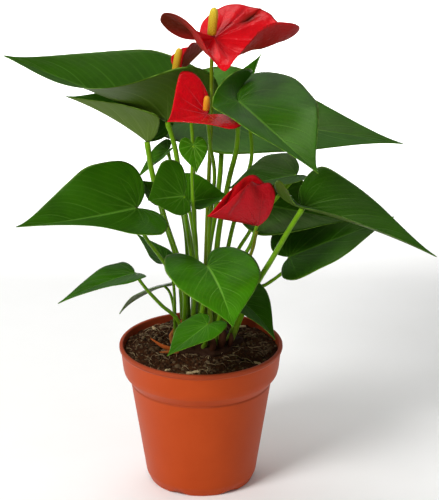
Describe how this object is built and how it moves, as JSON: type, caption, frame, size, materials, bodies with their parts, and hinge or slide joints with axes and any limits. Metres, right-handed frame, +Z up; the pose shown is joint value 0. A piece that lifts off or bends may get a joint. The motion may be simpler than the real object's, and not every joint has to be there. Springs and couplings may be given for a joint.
{
  "type": "potted anthurium plant",
  "caption": "Anthurium in a terracotta-coloured nursery pot: heart-shaped green leaves on slim stalks, and glossy red spathes with yellow spadices.",
  "frame": {"origin": "centre of the underside of the pot, on the surface that the pot stands on", "axes": "+Z up along the pot's axis, -Y towards the side that is seen in front, +X to the right from there"},
  "size_m": [0.3116, 0.2394, 0.3792],
  "materials": {
    "pot": "satin terracotta-coloured moulded plastic",
    "soil": "dry dark peat and bark fibre",
    "crown": "rough brown stem base",
    "leaf": "smooth waxy green leaf",
    "leaf_stalk": "smooth yellow-green stalk",
    "spathe": "glossy waxy red bract",
    "spadix": "fine pebbled yellow spike",
    "flower_stalk": "smooth olive-green stalk",
    "sheath": "dry papery brown sheath"
  },
  "bodies": {
    "root": {"pot": "pot", "potting_soil": "soil", "crown": "crown", "leaf_top_left": "leaf", "stalk_top_left": "leaf_stalk", "leaf_upper_left": "leaf", "stalk_upper_left": "leaf_stalk", "leaf_mid_left": "leaf", "stalk_mid_left": "leaf_stalk", "leaf_round": "leaf", "stalk_round": "leaf_stalk", "leaf_olive": "leaf", "stalk_olive": "leaf_stalk", "leaf_centre_small": "leaf", "stalk_centre_small": "leaf_stalk", "leaf_upper_right": "leaf", "stalk_upper_right": "leaf_stalk", "leaf_back_right": "leaf", "stalk_back_right": "leaf_stalk", "leaf_back_young": "leaf", "stalk_back_young": "leaf_stalk", "leaf_behind_bud": "leaf", "stalk_behind_bud": "leaf_stalk", "leaf_right": "leaf", "stalk_right": "leaf_stalk", "leaf_right_shade": "leaf", "stalk_right_shade": "leaf_stalk", "leaf_lower_right": "leaf", "stalk_lower_right": "leaf_stalk", "leaf_front_heart": "leaf", "stalk_front_heart": "leaf_stalk", "leaf_front_small": "leaf", "stalk_front_small": "leaf_stalk", "leaf_front_right": "leaf", "stalk_front_right": "leaf_stalk", "leaf_low_left": "leaf", "stalk_low_left": "leaf_stalk", "leaf_back_left": "leaf", "stalk_back_left": "leaf_stalk", "leaf_back_left_young": "leaf", "stalk_back_left_young": "leaf_stalk", "leaf_under_left": "leaf", "stalk_under_left": "leaf_stalk", "leaf_inner_left": "leaf", "stalk_inner_left": "leaf_stalk", "flower_top_spathe": "spathe", "flower_top_spadix": "spadix", "flower_top_stalk": "flower_stalk", "flower_back_spathe": "spathe", "flower_back_spadix": "spadix", "flower_back_stalk": "flower_stalk", "flower_mid_spathe": "spathe", "flower_mid_spadix": "spadix", "flower_mid_stalk": "flower_stalk", "flower_bud_spathe": "spathe", "flower_bud_spadix": "spadix", "flower_bud_stalk": "flower_stalk", "dry_sheath_upright": "sheath", "dry_sheath_lying": "sheath", "resting_bud": "sheath"}
  },
  "joints": []
}
